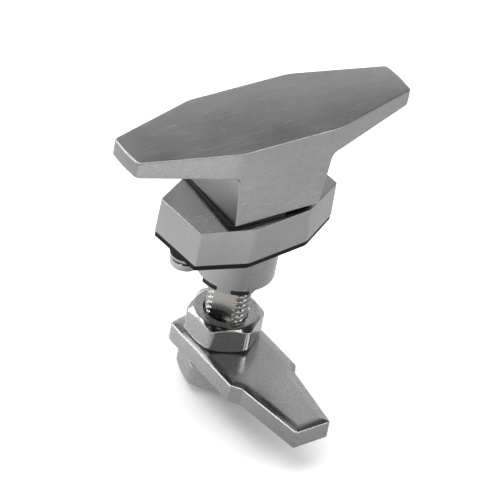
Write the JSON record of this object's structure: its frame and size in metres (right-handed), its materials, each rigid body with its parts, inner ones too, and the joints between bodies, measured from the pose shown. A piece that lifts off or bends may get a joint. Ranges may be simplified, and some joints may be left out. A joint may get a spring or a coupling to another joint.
{
  "type": "t-handle compression latch",
  "caption": "Keyless T-handle compression cam latch: octagonal grip and gasketed base, round boss, flatted threaded stud, and a tapered flat cam clamped between hexagon nuts.",
  "frame": {"origin": "on the stud's axis, in the plane where the panel gasket meets the panel", "axes": "+Z out of the panel towards the grip, X along the base's long axis, the cam's arm along -Y at rest"},
  "size_m": [0.0882, 0.0586, 0.0898],
  "materials": {
    "cast_steel": "satin",
    "cam_steel": "satin",
    "thread_steel": "polished",
    "nut_steel": "polished",
    "fastener_steel": "polished",
    "spring_steel": "satin",
    "sintered_steel": "matt",
    "bronze": "matt",
    "black_plastic": "matt",
    "rubber": "matt"
  },
  "bodies": {
    "housing": {"housing": "cast_steel", "panel_gasket": "rubber", "end_bush": "black_plastic", "bore_ring": "spring_steel", "stop_pin": "fastener_steel", "panel_screws": "fastener_steel", "lock_washers": "spring_steel", "steel_washers": "fastener_steel", "seal_washers": "rubber"},
    "rotor": {"rotor": "sintered_steel"},
    "grip": {"grip": "cast_steel", "glide_plate": "black_plastic", "spindle": "sintered_steel", "neck_seal": "rubber", "thrust_washer": "bronze", "grip_screw": "fastener_steel", "grip_lock_washer": "fastener_steel", "return_spring": "spring_steel"},
    "rod": {"stud": "thread_steel", "follower_pin": "fastener_steel", "upper_nut": "nut_steel", "lower_nut": "nut_steel", "cam": "cam_steel"}
  },
  "joints": [
    {"name": "latch_turn", "type": "hinge", "parent": "housing", "child": "rotor", "pos_m": [0, 0, -0.009], "axis": [0, 0, 1], "range_deg": [-85.6, 4.4]},
    {"name": "clamp_turn", "type": "hinge", "parent": "rotor", "child": "grip", "pos_m": [0, 0, 0], "axis": [0, 0, 1], "range_deg": [-90, 0]},
    {"name": "clamp_pull", "type": "slide", "parent": "rotor", "child": "rod", "axis": [0, 0, 1], "range_m": [0, 0.005], "deforming": ["return_spring"]}
  ],
  "couplings": [
    {"joint": "clamp_turn", "follows": "clamp_pull", "rad_per_m": -314.16}
  ]
}
